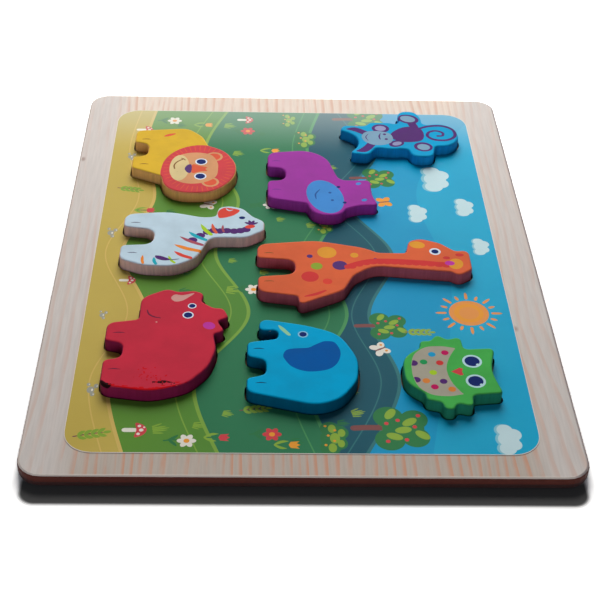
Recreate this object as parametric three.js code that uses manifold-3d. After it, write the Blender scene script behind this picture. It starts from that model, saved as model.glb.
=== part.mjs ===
// Wooden lift-out puzzle: eight painted animal blocks stand in the cut-outs of a two-layer board
// that carries a printed scene inside a bare wooden border.
// Millimetres. +X runs right, +Y away from the player, +Z up. The origin lies under the board's middle.
import * as THREE from "three";
import { mergeVertices } from "three/addons/utils/BufferGeometryUtils.js";
import Module from "manifold-3d";

// Board of two glued layers
const BOARD_WIDTH = 225;
const BOARD_DEPTH = 300;
const BOARD_CORNER = 10;
const BOARD_EDGE_ROUND = 1;
const BACK_THICKNESS = 2.5;
const FRONT_THICKNESS = 3;

// Printed paper sheet, glued on the front layer inside the border
const SHEET_THICKNESS = 0.2;
const SHEET_CORNER = 12;
const BORDER_LEFT = 16.5;
const BORDER_RIGHT = 17.5;
const BORDER_NEAR = 13;
const BORDER_FAR = 17;

// Animal blocks, which rest on the back layer; the clearance is the gap all round to the cut-out,
// and the outlines are drawn on a grid of squares
const BLOCK_THICKNESS = 8.5;
const BLOCK_EDGE_ROUND = 1.5;
const BLOCK_CLEARANCE = 0.8;
const GRID_SQUARE_WIDTH = 0.5;

// Curves become chords that stand off by no more than the sag; a rounded edge has a few steps
const CHORD_SAG = 0.1;
const ROUND_STEPS = 2;

// Places that follow from the driving sizes
const BOARD_THICKNESS = BACK_THICKNESS + FRONT_THICKNESS;
const SHEET_LEFT = -BOARD_WIDTH / 2 + BORDER_LEFT;
const SHEET_RIGHT = BOARD_WIDTH / 2 - BORDER_RIGHT;
const SHEET_NEAR = -BOARD_DEPTH / 2 + BORDER_NEAR;
const SHEET_FAR = BOARD_DEPTH / 2 - BORDER_FAR;

// The animals lie on their sides, feet to the left, spread over the sheet: a place gives the shares of the
// sheet's width and depth at which an animal's middle lies. Each outline runs counter-clockwise about that
// middle, and a corner is [x, y, radius of the arc that rounds it], in squares of the outline grid.
const ANIMALS = [
  {
    name: "lion",
    colour: 0xe1b432,
    place: [0.204, 0.78],
    corners: [
      // hind leg, gap, foreleg
      [-54, 58, 8], [-54, 33, 4], [-39, 30, 9], [-39, 7, 9], [-54, 5, 5], [-54, -17, 4],
      // round mane
      [-23, -32, 5], [-19, -53, 24], [-2, -63, 28], [30, -63, 30],
      [53, -35, 44], [53, -5, 40], [41, 19, 28],
      // back and rump
      [23, 29, 6], [17, 47, 24], [1, 64, 16],
    ],
  },
  {
    name: "hippo",
    colour: 0xa53ca0,
    place: [0.571, 0.707],
    corners: [
      // hind leg, gap, foreleg
      [-55, 56, 10], [-55, 26, 4], [-37, 25, 9], [-37, 3, 9], [-55, 2, 5], [-55, -31, 8],
      // broad muzzle
      [-16, -40, 4], [-10, -60, 16], [16, -61, 15], [22, -49, 4],
      // cheek and the two ears
      [37, -42, 28], [55, -42, 4.4], [49, -21, 36], [49, 5, 4.4],
      // nape, back and rump
      [18, 4, 10], [14, 18, 40], [7, 47, 28], [-13, 62, 28],
    ],
  },
  {
    name: "monkey",
    colour: 0x19afe1,
    place: [0.796, 0.891],
    corners: [
      // raised arms with the hollow between them
      [-63, 4, 4], [-35, -13, 22], [-56, -43, 4], [-35, -46, 8],
      // near side of the head, near foot
      [-27, -31, 6], [-10, -34, 16], [7, -32, 6], [11, -48, 9.2], [33, -48, 9.2],
      // curled tail
      [36, -27, 5], [53, -25, 16], [64, -11, 20], [62, 11, 18], [48, 22, 18], [27, 18, 5],
      // far foot, far ear
      [26, 33, 16], [21, 47, 9], [1, 47, 9], [2, 18, 5],
      [-10, 22, 6], [-30, 22, 6], [-36, 14, 6], [-60, 15, 6],
    ],
  },
  {
    name: "zebra",
    colour: 0xd7e6f0,
    place: [0.243, 0.528],
    corners: [
      // foreleg, gap, hind leg
      [-68, 35, 10], [-68, 13, 5], [-38, 8, 10], [-38, -15, 10], [-68, -17, 5], [-68, -40, 10],
      // rump, back and neck
      [-45, -50, 28], [-17, -51, 28], [4, -38, 26], [15, -4, 12], [50, -4, 18],
      // muzzle, brow and ear
      [67, 9, 7], [67, 25, 8], [56, 33, 10], [46, 47, 10], [34, 51, 10], [22, 49, 7],
      // throat and chest
      [20, 32, 6], [7, 31, 20], [-26, 40, 60],
    ],
  },
  {
    name: "giraffe",
    colour: 0xd76946,
    place: [0.662, 0.428],
    corners: [
      // foreleg, gap, hind leg
      [-100, 41, 10], [-100, 18, 4], [-65, 15, 9], [-65, -6, 9], [-99, -10, 5], [-99, -34, 9],
      // pointed tail, rump
      [-63, -40, 4], [-62, -53, 4], [-21, -31, 14],
      // long neck, nape and horns
      [-11, -8, 16], [8, 7, 24], [80, -1, 4], [86, -7, 6],
      // muzzle, cheek and ear
      [100, 3, 7], [100, 35, 6], [87, 33, 6], [74, 46, 16], [56, 53, 12], [44, 49, 8],
      // throat and chest
      [40, 29, 4], [14, 29, 10], [1, 37, 40], [-44, 48, 60],
    ],
  },
  {
    name: "rhino",
    colour: 0xc83749,
    place: [0.199, 0.243],
    corners: [
      // foreleg, gap, hind leg
      [-53, 20, 8], [-53, -5, 4], [-37, -9, 7], [-37, -27, 7], [-52, -30, 5], [-52, -64, 10],
      // rump and back
      [-9, -71, 40], [20, -61, 28], [37, -39, 32], [43, -15, 28],
      // the two ears
      [40, 5, 4], [50, 9, 4.4], [43, 23, 3], [53, 28, 4.4], [48, 42, 6],
      // brow, horn and snout
      [39, 42, 8], [28, 51, 4], [30, 63, 5.2], [21, 67, 8], [6, 65, 8], [-3, 70, 10],
      // jaw and throat
      [-26, 56, 12], [-26, 25, 4],
    ],
  },
  {
    name: "elephant",
    colour: 0x009bcd,
    place: [0.505, 0.189],
    corners: [
      // curled trunk with its gap
      [-38, 57, 7.2], [-38, 39, 4.8], [-21, 40, 4.4], [-22, 29, 4.4],
      // foreleg, gap, hind leg
      [-48, 24, 5.2], [-48, 4, 6], [-32, 0, 6.8], [-32, -18, 6.4], [-48, -23, 4.4], [-48, -41, 8],
      // rump, back and forehead
      [9, -57, 28], [30, -49, 28], [45, -25, 32], [47, 3, 40], [32, 37, 32], [3, 48, 80],
    ],
  },
  {
    name: "owl",
    colour: 0x4baf41,
    place: [0.832, 0.167],
    corners: [
      // round belly
      [-41, 18, 22], [-41, -16, 22],
      // near wing with three feathers
      [-26, -29, 6], [-25, -37, 4], [-13, -40, 4], [-11, -48, 4], [-3, -49, 4], [-1, -41, 4],
      [13, -45, 4], [14, -31, 4],
      // head with two pointed ears
      [40, -28, 4], [33, 1, 44], [40, 31, 4],
      // far wing with three feathers
      [13, 29, 4], [12, 46, 4], [0, 42, 4], [-9, 49, 4], [-15, 40, 4], [-24, 40, 4], [-25, 30, 6],
    ],
  },
];

const wasm = await Module();
wasm.setup();

// Direction of the side that leads into a corner, and the angle by which the outline turns there.
function turnAt(corners, index) {
  const [x, y] = corners[index];
  const [beforeX, beforeY] = corners.at(index - 1);
  const [afterX, afterY] = corners[(index + 1) % corners.length];
  const into = new THREE.Vector2(x - beforeX, y - beforeY).normalize();
  const out = new THREE.Vector2(afterX - x, afterY - y).normalize();
  return { into, angle: Math.atan2(into.cross(out), into.dot(out)) };
}

// Points of a closed outline: straight sides joined by tangent arcs.
function outlinePoints(corners) {
  return corners.flatMap(([x, y, radius], index) => {
    const { into, angle } = turnAt(corners, index);
    const side = Math.sign(angle);
    const reach = radius * Math.tan(Math.abs(angle) / 2);
    const start = new THREE.Vector2(x, y).addScaledVector(into, -reach);
    const inward = new THREE.Vector2(-into.y, into.x).multiplyScalar(side);
    const centre = start.clone().addScaledVector(inward, radius);
    const startAngle = Math.atan2(-inward.y, -inward.x);
    const arc = new THREE.ArcCurve(centre.x, centre.y, radius, startAngle, startAngle + angle, side < 0);
    const chordAngle = 2 * Math.acos(1 - CHORD_SAG / radius);
    return arc.getPoints(Math.ceil(Math.abs(angle) / chordAngle));
  });
}

// The same outline moved outward all round: its sides shift and its arcs keep their centres.
function grow(corners, distance) {
  return corners.map(([x, y, radius], index) => {
    const { into, angle } = turnAt(corners, index);
    const moved = new THREE.Vector2(x, y)
      .addScaledVector(new THREE.Vector2(into.y, -into.x), distance)
      .addScaledVector(into, distance * Math.tan(angle / 2));
    return [moved.x, moved.y, radius + Math.sign(angle) * distance];
  });
}

// An animal's corners on the board, at their real size.
function blockOutline({ place: [across, along], corners }) {
  const middleX = SHEET_LEFT + across * (SHEET_RIGHT - SHEET_LEFT);
  const middleY = SHEET_NEAR + along * (SHEET_FAR - SHEET_NEAR);
  return corners.map(([x, y, radius]) => [
    middleX + x * GRID_SQUARE_WIDTH,
    middleY + y * GRID_SQUARE_WIDTH,
    radius * GRID_SQUARE_WIDTH,
  ]);
}

function rectangle(left, near, right, far, radius) {
  return [[left, far, radius], [left, near, radius], [right, near, radius], [right, far, radius]];
}

// A flat plate standing on z = 0, with its upper and lower edges rounded over.
function plate(corners, thickness, edgeRound = 0) {
  const geometry = new THREE.ExtrudeGeometry(new THREE.Shape(outlinePoints(corners)), {
    depth: thickness - 2 * edgeRound,
    bevelEnabled: edgeRound > 0,
    bevelThickness: edgeRound,
    bevelSize: edgeRound,
    bevelOffset: -edgeRound,
    bevelSegments: ROUND_STEPS,
  });
  return geometry.translate(0, 0, edgeRound);
}

function toSolid(geometry) {
  geometry.deleteAttribute("normal");
  geometry.deleteAttribute("uv");
  const merged = mergeVertices(geometry);
  const vertProperties = merged.attributes.position.array;
  const triVerts = Uint32Array.from(merged.index.array);
  return new wasm.Manifold(new wasm.Mesh({ numProp: 3, vertProperties, triVerts }));
}

function toGeometry(solid) {
  const { vertProperties, triVerts } = solid.getMesh();
  const geometry = new THREE.BufferGeometry();
  geometry.setAttribute("position", new THREE.BufferAttribute(vertProperties, 3));
  geometry.setIndex(new THREE.BufferAttribute(triVerts, 1));
  geometry.computeVertexNormals();
  return geometry;
}

function subPart(name, geometry, colour, roughness) {
  const material = new THREE.MeshStandardMaterial({ color: colour, roughness, metalness: 0 });
  const mesh = new THREE.Mesh(geometry, material);
  mesh.name = name;
  return mesh;
}

// Both layers are glued first, and their outer edges are then rounded together.
function boardLayer(bottom, thickness) {
  const halfWidth = BOARD_WIDTH / 2;
  const halfDepth = BOARD_DEPTH / 2;
  const outline = rectangle(-halfWidth, -halfDepth, halfWidth, halfDepth, BOARD_CORNER);
  const blank = toSolid(plate(outline, BOARD_THICKNESS, BOARD_EDGE_ROUND));
  const slice = new THREE.BoxGeometry(2 * BOARD_WIDTH, 2 * BOARD_DEPTH, thickness);
  return blank.intersect(toSolid(slice.translate(0, 0, bottom + thickness / 2)));
}

// Every cut-out follows its block's outline at the clearance, right through the front layer and the sheet.
function cutOuts(solid) {
  return ANIMALS.reduce((rest, animal) => {
    const cutter = plate(grow(blockOutline(animal), BLOCK_CLEARANCE), 2 * BOARD_THICKNESS);
    return rest.subtract(toSolid(cutter));
  }, solid);
}

function backPanel() {
  return subPart("back_panel", toGeometry(boardLayer(0, BACK_THICKNESS)), 0x8a5a44, 0.7);
}

function frontPanel() {
  const panel = cutOuts(boardLayer(BACK_THICKNESS, FRONT_THICKNESS));
  return subPart("front_panel", toGeometry(panel), 0xd8c3b0, 0.55);
}

function sceneSheet() {
  const outline = rectangle(SHEET_LEFT, SHEET_NEAR, SHEET_RIGHT, SHEET_FAR, SHEET_CORNER);
  const sheet = plate(outline, SHEET_THICKNESS).translate(0, 0, BOARD_THICKNESS);
  return subPart("scene_sheet", toGeometry(cutOuts(toSolid(sheet))), 0x4f9a62, 0.4);
}

function animalBlock(animal) {
  const geometry = plate(blockOutline(animal), BLOCK_THICKNESS, BLOCK_EDGE_ROUND);
  const block = subPart(`${animal.name}_block`, geometry, animal.colour, 0.35);
  block.position.z = BACK_THICKNESS;
  return block;
}

const puzzle = new THREE.Group();
puzzle.add(backPanel(), frontPanel(), sceneSheet(), ...ANIMALS.map(animalBlock));
export default puzzle;
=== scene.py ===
"""Looks of a wooden lift-out puzzle: printed animal blocks in a board with a printed landscape."""

import math
import random

import bpy
import numpy as np
from mathutils import Matrix, Vector
from mathutils.geometry import delaunay_2d_cdt

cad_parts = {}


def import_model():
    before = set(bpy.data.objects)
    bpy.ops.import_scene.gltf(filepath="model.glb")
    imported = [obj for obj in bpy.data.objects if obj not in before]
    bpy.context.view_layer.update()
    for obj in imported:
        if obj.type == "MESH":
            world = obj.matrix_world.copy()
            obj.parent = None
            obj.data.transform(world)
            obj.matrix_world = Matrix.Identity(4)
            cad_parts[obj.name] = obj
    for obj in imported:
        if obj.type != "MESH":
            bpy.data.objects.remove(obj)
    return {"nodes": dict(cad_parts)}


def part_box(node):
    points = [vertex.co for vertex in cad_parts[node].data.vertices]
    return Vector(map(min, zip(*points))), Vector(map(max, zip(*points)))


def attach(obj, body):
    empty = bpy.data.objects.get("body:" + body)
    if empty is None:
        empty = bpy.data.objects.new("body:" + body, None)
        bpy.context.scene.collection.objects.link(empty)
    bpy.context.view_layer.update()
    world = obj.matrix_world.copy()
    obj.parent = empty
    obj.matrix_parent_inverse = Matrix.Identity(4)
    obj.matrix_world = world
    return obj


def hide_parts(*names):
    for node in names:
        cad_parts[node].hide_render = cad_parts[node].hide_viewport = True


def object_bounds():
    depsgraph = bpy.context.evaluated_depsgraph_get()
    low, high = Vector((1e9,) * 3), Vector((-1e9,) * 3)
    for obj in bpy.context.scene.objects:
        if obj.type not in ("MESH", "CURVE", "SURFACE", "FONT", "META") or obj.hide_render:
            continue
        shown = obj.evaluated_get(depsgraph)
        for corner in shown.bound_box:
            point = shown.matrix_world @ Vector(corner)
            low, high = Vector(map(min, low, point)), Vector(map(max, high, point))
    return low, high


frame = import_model()
cad_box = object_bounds()

# Lengths are written in millimetres and built in metres.
MM = 0.001

# Inks and paints, as eight-bit colours
COLOURS = {
    "yellow": (206, 168, 50),
    "purple": (150, 54, 152),
    "sky_blue": (14, 150, 198),
    "white": (183, 205, 219),
    "orange": (210, 98, 62),
    "red": (192, 46, 66),
    "blue": (0, 156, 204),
    "green": (70, 167, 78),
    "mane_red": (196, 66, 72),
    "tan": (202, 146, 104),
    "cream": (208, 188, 138),
    "ear_orange": (208, 88, 62),
    "nose_purple": (84, 52, 112),
    "eye_white": (212, 222, 236),
    "navy": (22, 40, 102),
    "line_brown": (122, 82, 44),
    "muzzle_blue": (66, 132, 200),
    "plum": (80, 42, 106),
    "face_grey": (118, 152, 176),
    "lavender": (138, 142, 178),
    "poppy": (212, 70, 58),
    "lime": (160, 196, 44),
    "tangerine": (222, 130, 52),
    "rose": (160, 78, 92),
    "teal": (34, 160, 178),
    "leg_grey": (92, 92, 114),
    "sun_yellow": (214, 148, 54),
    "leaf_green": (136, 160, 56),
    "crimson": (198, 58, 58),
    "magenta": (182, 28, 90),
    "horn_pink": (204, 150, 144),
    "soot": (38, 12, 16),
    "ear_blue": (0, 84, 158),
    "ivory": (142, 196, 156),
    "belly_beige": (162, 157, 142),
    "violet": (104, 54, 132),
    "cheek_pink": (186, 58, 158),
    "ring_blue": (178, 212, 220),
    "eye_blue": (132, 184, 214),
    "dot_green": (38, 146, 84),
    "dot_blue": (34, 150, 196),
    "dot_orange": (208, 126, 60),
    "mark_blue": (18, 62, 96),
    "mark_red": (104, 38, 62),
    "worn_red": (196, 14, 26),
    "smile_blue": (46, 86, 148),
}

# Colours of the block walls: thin paint on sawn wood, with painted shade that makes most darker and bluer
# than the top, and painted light on the yellow ones. An ink that isn't here keeps its own.
WALL_PAINT_AND_SHADE = {
    "yellow": (228, 176, 112),
    "mane_red": (228, 176, 112),
    "purple": (152, 54, 154),
    "sky_blue": (18, 138, 204),
    "white": (216, 172, 158),
    "orange": (170, 80, 100),
    "red": (118, 24, 72),
    "worn_red": (118, 24, 72),
    "blue": (0, 68, 94),
    "green": (26, 116, 98),
}

# Bare, stained and rubbed wood, with painted light and shade in the ends' tones and in the rim lines
WOODS = {
    "rubbed": (214, 186, 150),
    "near_end_shaded": (184, 173, 163),
    "far_end_lit": (216, 202, 191),
    "side": (201, 194, 190),
    "streak": (200, 148, 122),
    "knot": (132, 96, 84),
    "stain_dark": (72, 31, 25),
    "stain_light": (98, 47, 37),
    "cut_out_wall": (44, 30, 28),
    "end_rim_highlight": (240, 230, 220),
    "left_rim_highlight": (214, 205, 198),
    "right_rim_shade": (158, 150, 150),
    "back_dark": (132, 95, 70),
    "back_light": (154, 116, 88),
    "back_streak": (108, 72, 52),
    "back_edge_dark": (40, 18, 16),
    "back_edge_light": (60, 28, 24),
}


def linear(colour):
    """An eight-bit colour as the linear colour that a shader takes."""
    shares = [part / 255 for part in colour]
    return tuple(s / 12.92 if s <= 0.04045 else ((s + 0.055) / 1.055) ** 2.4 for s in shares) + (1.0,)


# Flat drawing. A loop is an array of points in millimetres, and a print is an ink with a loop.
ARC_STEP = 0.35


def curve(points, closed):
    """A smooth line through the points, with short steps."""
    points = np.array(points, float)
    count = len(points)
    line = []
    for index in range(count if closed else count - 1):
        if closed:
            before, start, end, after = (points[(index + shift) % count] for shift in (-1, 0, 1, 2))
        else:
            before, start = points[max(index - 1, 0)], points[index]
            end, after = points[index + 1], points[min(index + 2, count - 1)]
        steps = max(2, round(np.linalg.norm(end - start) / (2 * ARC_STEP)))
        for t in np.arange(steps) / steps:
            line.append(
                0.5 * (2 * start + (end - before) * t
                       + (2 * before - 5 * start + 4 * end - after) * t**2
                       + (3 * start - before - 3 * end + after) * t**3)
            )
    if not closed:
        line.append(points[-1])
    return np.array(line)


def blob(points):
    return curve(points, closed=True)


def oval(x, y, across, along=None, turn=0):
    along = along or across
    angles = np.arange(0, 2 * math.pi, ARC_STEP / max(across, along, 1.0))
    c, s = math.cos(math.radians(turn)), math.sin(math.radians(turn))
    u, v = across * np.cos(angles), along * np.sin(angles)
    return np.stack([x + u * c - v * s, y + u * s + v * c], 1)


def stroke(points, width, start=1.0, end=1.0):
    """A brush stroke along a smooth line; start and end are the shares of the width at its two tips."""
    line = curve(points, closed=False)
    along = np.gradient(line, axis=0)
    along /= np.linalg.norm(along, axis=1)[:, None]
    side = np.stack([-along[:, 1], along[:, 0]], 1)
    t = np.linspace(0, 1, len(line))
    tip = np.minimum(np.interp(t, [0, 0.35], [start, 1]), np.interp(t, [0.65, 1], [1, end]))
    half = (width / 2 * tip)[:, None]
    cap = np.linspace(math.pi / 2, -math.pi / 2, 7)[1:-1, None]
    far = line[-1] + half[-1] * (side[-1] * np.sin(cap) + along[-1] * np.cos(cap))
    near = line[0] - half[0] * (side[0] * np.sin(cap) + along[0] * np.cos(cap))
    return np.concatenate([line + side * half, far, (line - side * half)[::-1], near])


def moved(loop, x, y, turn=0.0, size=1.0):
    c, s = math.cos(math.radians(turn)) * size, math.sin(math.radians(turn)) * size
    return np.asarray(loop, float) @ np.array([[c, s], [-s, c]]) + (x, y)


def inside(points, loop):
    """Which points lie within a loop, by its winding number."""
    within = ((points > loop.min(0)) & (points < loop.max(0))).all(1)
    start, end = loop, np.roll(loop, -1, axis=0)
    x, y = points[within, 0, None], points[within, 1, None]
    left = (end[:, 0] - start[:, 0]) * (y - start[:, 1]) - (x - start[:, 0]) * (end[:, 1] - start[:, 1])
    up = (start[:, 1] <= y) & (end[:, 1] > y) & (left > 0)
    down = (start[:, 1] > y) & (end[:, 1] <= y) & (left < 0)
    within[within] = (up.sum(1) - down.sum(1)) != 0
    return within


def distance_to(points, loop):
    """How far each point lies from a loop."""
    start, span = loop, np.roll(loop, -1, axis=0) - loop
    offset = points[:, None] - start
    share = np.clip((offset * span).sum(2) / (span**2).sum(1), 0, 1)
    return np.linalg.norm(offset - share[..., None] * span, axis=2).min(1)


def signed_area(loop):
    x, y = loop.T
    return 0.5 * (x * np.roll(y, -1) - y * np.roll(x, -1)).sum()


# Outlines that come from the frame. A face whose normal rises over FLAT_FACE is no wall, LEVEL_GAP is how far
# a corner may lie off its height, and corners that agree to PLACES decimals are one.
FLAT_FACE = 0.99
LEVEL_GAP = 0.01
PLACES = 3
ROUND_PASSES = 2
SHARP_TURN = math.radians(8)


def cad_loops(node, height):
    """The closed outlines, counter-clockwise and in millimetres, of a CAD node's walls at one height."""
    mesh = frame["nodes"][node].data
    links = {}
    for face in mesh.polygons:
        if abs(face.normal.z) > FLAT_FACE:
            continue
        corners = [mesh.vertices[i].co for i in face.vertices]
        near = [co.xy for co in corners if abs(co.z - height) < LEVEL_GAP * MM]
        level = [tuple(round(c / MM, PLACES) for c in co) for co in near]
        if len(level) == 2 and level[0] != level[1]:
            for one, other in (level, level[::-1]):
                links.setdefault(one, set()).add(other)
    loops, left = [], set(links)
    while left:
        loop = [min(left)]
        left.discard(loop[0])
        while True:
            ahead = [spot for spot in sorted(links[loop[-1]]) if spot in left]
            if not ahead:
                break
            loop.append(ahead[0])
            left.discard(ahead[0])
        loop = np.array(loop)
        loops.append(loop if signed_area(loop) > 0 else loop[::-1])
    return sorted(loops, key=lambda loop: -signed_area(loop))


def rounder(loop):
    """The same outline with its short chords cut into finer ones."""
    for _ in range(ROUND_PASSES):
        before, after = np.roll(loop, 1, axis=0) - loop, np.roll(loop, -1, axis=0) - loop
        reach_before, reach_after = np.linalg.norm(before, axis=1), np.linalg.norm(after, axis=1)
        straight = np.clip((before * after).sum(1) / (reach_before * reach_after), -1, 1)
        cut = np.minimum(reach_before, reach_after) / 4
        cut_before = loop + before / reach_before[:, None] * cut[:, None]
        cut_after = loop + after / reach_after[:, None] * cut[:, None]
        finer = []
        for index, turn in enumerate(math.pi - np.arccos(straight)):
            finer += [cut_before[index], cut_after[index]] if turn > SHARP_TURN else [loop[index]]
        loop = np.array(finer)
    return loop


def inset(loop, distance):
    """The outline moved inward, corner by corner."""
    span = np.roll(loop, -1, axis=0) - loop
    normal = np.stack([-span[:, 1], span[:, 0]], 1) / np.linalg.norm(span, axis=1)[:, None]
    middle = normal + np.roll(normal, 1, axis=0)
    return loop + distance * 2 * middle / (middle**2).sum(1)[:, None]


# Printed faces
WELD = 1e-4
SHARP_EDGE = math.radians(38)


def printed_face(outer, holes, guides, prints):
    """Cuts a flat face along its prints: points, triangles and the number of the print on each, or -1."""
    loops = [outer, *holes, *guides, *[loop for _, loop in prints]]
    points, edges = [], []
    for loop in loops:
        first = len(points)
        points += [Vector(spot) for spot in loop]
        edges += [(first + i, first + (i + 1) % len(loop)) for i in range(len(loop))]
    spots, _, faces, *_ = delaunay_2d_cdt(points, edges, [], 0, WELD, False)
    spots = np.array([tuple(spot) for spot in spots])
    faces = np.array([face for face in faces if len(face) == 3])
    middles = spots[faces].mean(1)
    kept = inside(middles, outer)
    for hole in holes:
        kept &= ~inside(middles, hole)
    faces, middles = faces[kept], middles[kept]
    on = np.full(len(faces), -1)
    for number, (_, loop) in enumerate(prints):
        on[inside(middles, loop)] = number
    return spots, faces, on


def rims(faces):
    """The closed chains of points along the open edges of a face."""
    sides = {(int(one), int(other)) for face in faces for one, other in zip(face, np.roll(face, -1))}
    ahead = {one: other for one, other in sides if (other, one) not in sides}
    chains = []
    while ahead:
        chain = [min(ahead)]
        while ahead[chain[-1]] != chain[0]:
            chain.append(ahead[chain[-1]])
        for spot in chain:
            del ahead[spot]
        chains.append(chain)
    return chains


def smoothed(mesh):
    """Smooth shading that breaks at the sharp edges."""
    mesh.shade_smooth()
    mesh.set_sharp_from_angle(angle=SHARP_EDGE)


def piece(name, points, faces, inks, materials, body, replaced):
    """A mesh in the frame's place, with one material slot for each ink."""
    mesh = bpy.data.meshes.new(name)
    spots = [tuple(spot) for spot in np.asarray(points) * MM]
    mesh.from_pydata(spots, [], [list(map(int, face)) for face in faces])
    for material in materials:
        mesh.materials.append(material)
    mesh.polygons.foreach_set("material_index", np.asarray(inks, np.int32))
    smoothed(mesh)
    mesh.validate()
    made = bpy.data.objects.new(name, mesh)
    bpy.context.scene.collection.objects.link(made)
    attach(made, body)
    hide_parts(replaced)


# Shader node groups
def add(tree, kind, inputs=None, **settings):
    """A node with its settings and with its inputs set or linked."""
    node = tree.nodes.new(kind)
    for key, value in settings.items():
        setattr(node, key, value)
    for key, value in (inputs or {}).items():
        if isinstance(value, bpy.types.NodeSocket):
            tree.links.new(value, node.inputs[key])
        else:
            node.inputs[key].default_value = value
    return node


def fed(kind, inputs, **settings):
    """A node's outputs, where the first socket among its inputs tells the tree that it goes in."""
    tree = next(value.id_data for value in inputs.values() if isinstance(value, bpy.types.NodeSocket))
    return add(tree, kind, inputs, **settings).outputs


def link(one, other):
    one.id_data.links.new(one, other)


def math_node(operation, one, other=0.0):
    return fed("ShaderNodeMath", {0: one, 1: other}, operation=operation)[0]


def times(one, other):
    return math_node("MULTIPLY", one, other)


def vector_node(operation, one, other=(0, 0, 0)):
    return fed("ShaderNodeVectorMath", {0: one, 1: other}, operation=operation)


def axes_of(vector):
    return fed("ShaderNodeSeparateXYZ", {0: vector})


def ramp(value, low, high, bottom=0.0, top=1.0):
    """The value mapped from low..high to bottom..top, softly and within those ends."""
    inputs = {"Value": value, "From Min": low, "From Max": high, "To Min": bottom, "To Max": top}
    return fed("ShaderNodeMapRange", inputs, interpolation_type="SMOOTHSTEP")["Result"]


def noise(vector, scale, detail=2.0, roughness=0.5):
    inputs = {"Vector": vector, "Scale": scale, "Detail": detail, "Roughness": roughness}
    return fed("ShaderNodeTexNoise", inputs)["Fac"]


def stretched(vector, x, y, z):
    return vector_node("MULTIPLY", vector, (x, y, z))[0]


def past_box(place, half):
    """How far a place lies outside the box of these half lengths about the middle."""
    offset = vector_node("SUBTRACT", vector_node("ABSOLUTE", place)[0], half)[0]
    return vector_node("LENGTH", vector_node("MAXIMUM", offset)[0])["Value"]


def mixed(share, one, other, blend="MIX"):
    inputs = {"Factor": share, 6: one, 7: other}
    return fed("ShaderNodeMix", inputs, data_type="RGBA", blend_type=blend)[2]


def new_group(name, inputs, outputs):
    """An empty shader group and the two nodes for its sockets."""
    tree = bpy.data.node_groups.new(name, "ShaderNodeTree")
    for label, kind, value in inputs:
        socket = tree.interface.new_socket(label, in_out="INPUT", socket_type=kind)
        if value is not None:
            socket.default_value = value
    for label in outputs:
        tree.interface.new_socket(label, in_out="OUTPUT", socket_type="NodeSocketFloat")
    return tree, add(tree, "NodeGroupInput").outputs, add(tree, "NodeGroupOutput").inputs


def wood_grain_group():
    """Softwood grain along Y: broad growth-ring streaks, fine fibres and small knots. Lengths in metres."""
    rings_per_metre, sway_reach = 240.0, 0.03
    inputs = [("Place", "NodeSocketVector", None), ("Streaks", "NodeSocketFloat", 1.0)]
    tree, given, out = new_group("wood grain", inputs, ("Streak", "Fibre", "Knot"))
    place = given["Place"]
    sway = noise(stretched(place, 16, 3.5, 16), 1.0, 3.0)
    across = math_node("ADD", axes_of(place)["X"], times(sway, sway_reach))
    ring = math_node("FRACT", times(across, rings_per_metre))
    late = times(ramp(ring, 0.4, 0.85), ramp(ring, 1.0, 0.9))
    broken = noise(stretched(place, 90, 20, 90), 1.0, 4.0, 0.65)
    streak = times(late, ramp(broken, 0.3, 0.62))
    link(times(streak, given["Streaks"]), out["Streak"])
    link(noise(stretched(place, 900, 50, 900), 1.0, 4.0, 0.55), out["Fibre"])
    cells = fed("ShaderNodeTexVoronoi", {"Vector": stretched(place, 42, 24, 42), "Scale": 1.0})
    link(ramp(cells["Distance"], 0.075, 0.02), out["Knot"])
    return tree


def paint_group():
    """Sprayed satin paint: cloudy tone, dust nibs, upright saw marks and a faint orange-peel height."""
    outputs = ("Tone", "Nib", "Saw", "Height")
    tree, given, out = new_group("paint film", [("Place", "NodeSocketVector", None)], outputs)
    place = given["Place"]
    link(noise(stretched(place, 620, 620, 45), 1.0, 4.0, 0.65), out["Saw"])
    link(noise(place, 55.0, 4.0, 0.6), out["Tone"])
    cells = fed("ShaderNodeTexVoronoi", {"Vector": place, "Scale": 150.0})
    strong = fed("ShaderNodeSeparateColor", {0: cells["Color"]})[0]
    dot = ramp(cells["Distance"], 0.05, 0.025)
    link(times(dot, ramp(strong, 0.8, 0.86)), out["Nib"])
    peel = noise(place, 900.0, 2.0)
    grain = noise(stretched(place, 260, 1500, 260), 1.0, 3.0, 0.6)
    link(math_node("ADD", times(peel, 0.6), grain), out["Height"])
    return tree


def rub_group():
    """Where a rounded upper edge is rubbed, and where a surface is a wall. Lengths in metres."""
    numbers = [(label, "NodeSocketFloat", value) for label, value in (("Wear", 0.5), ("Upright", 0.1))]
    inputs = [("Place", "NodeSocketVector", None), *numbers]
    tree, given, out = new_group("edge rub", inputs, ("Rub", "Wall"))
    z = axes_of(add(tree, "ShaderNodeNewGeometry").outputs["True Normal"])["Z"]
    edge = times(ramp(z, 0.12, 0.45), ramp(z, 0.995, 0.8))
    patches = noise(given["Place"], 260.0, 5.0, 0.7)
    limit = math_node("SUBTRACT", 0.78, times(given["Wear"], 0.3))
    high = math_node("ADD", limit, 0.1)
    link(times(edge, ramp(patches, limit, high)), out["Rub"])
    flat = math_node("ADD", given["Upright"], 0.35)
    link(ramp(z, flat, given["Upright"]), out["Wall"])
    return tree


def paper_group():
    """Printed paper: cloudy ink, a fine paper tooth and faint waves of the glue below."""
    tree, given, out = new_group("paper print", [("Place", "NodeSocketVector", None)], ("Cloud", "Tooth"))
    place = given["Place"]
    link(noise(place, 26.0, 5.0, 0.6), out["Cloud"])
    tooth = noise(place, 2200.0, 2.0)
    glue = noise(place, 90.0, 2.0)
    link(math_node("ADD", tooth, times(glue, 2.5)), out["Tooth"])
    return tree


GRAIN, PAINT, RUB, PAPER = wood_grain_group(), paint_group(), rub_group(), paper_group()


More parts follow.
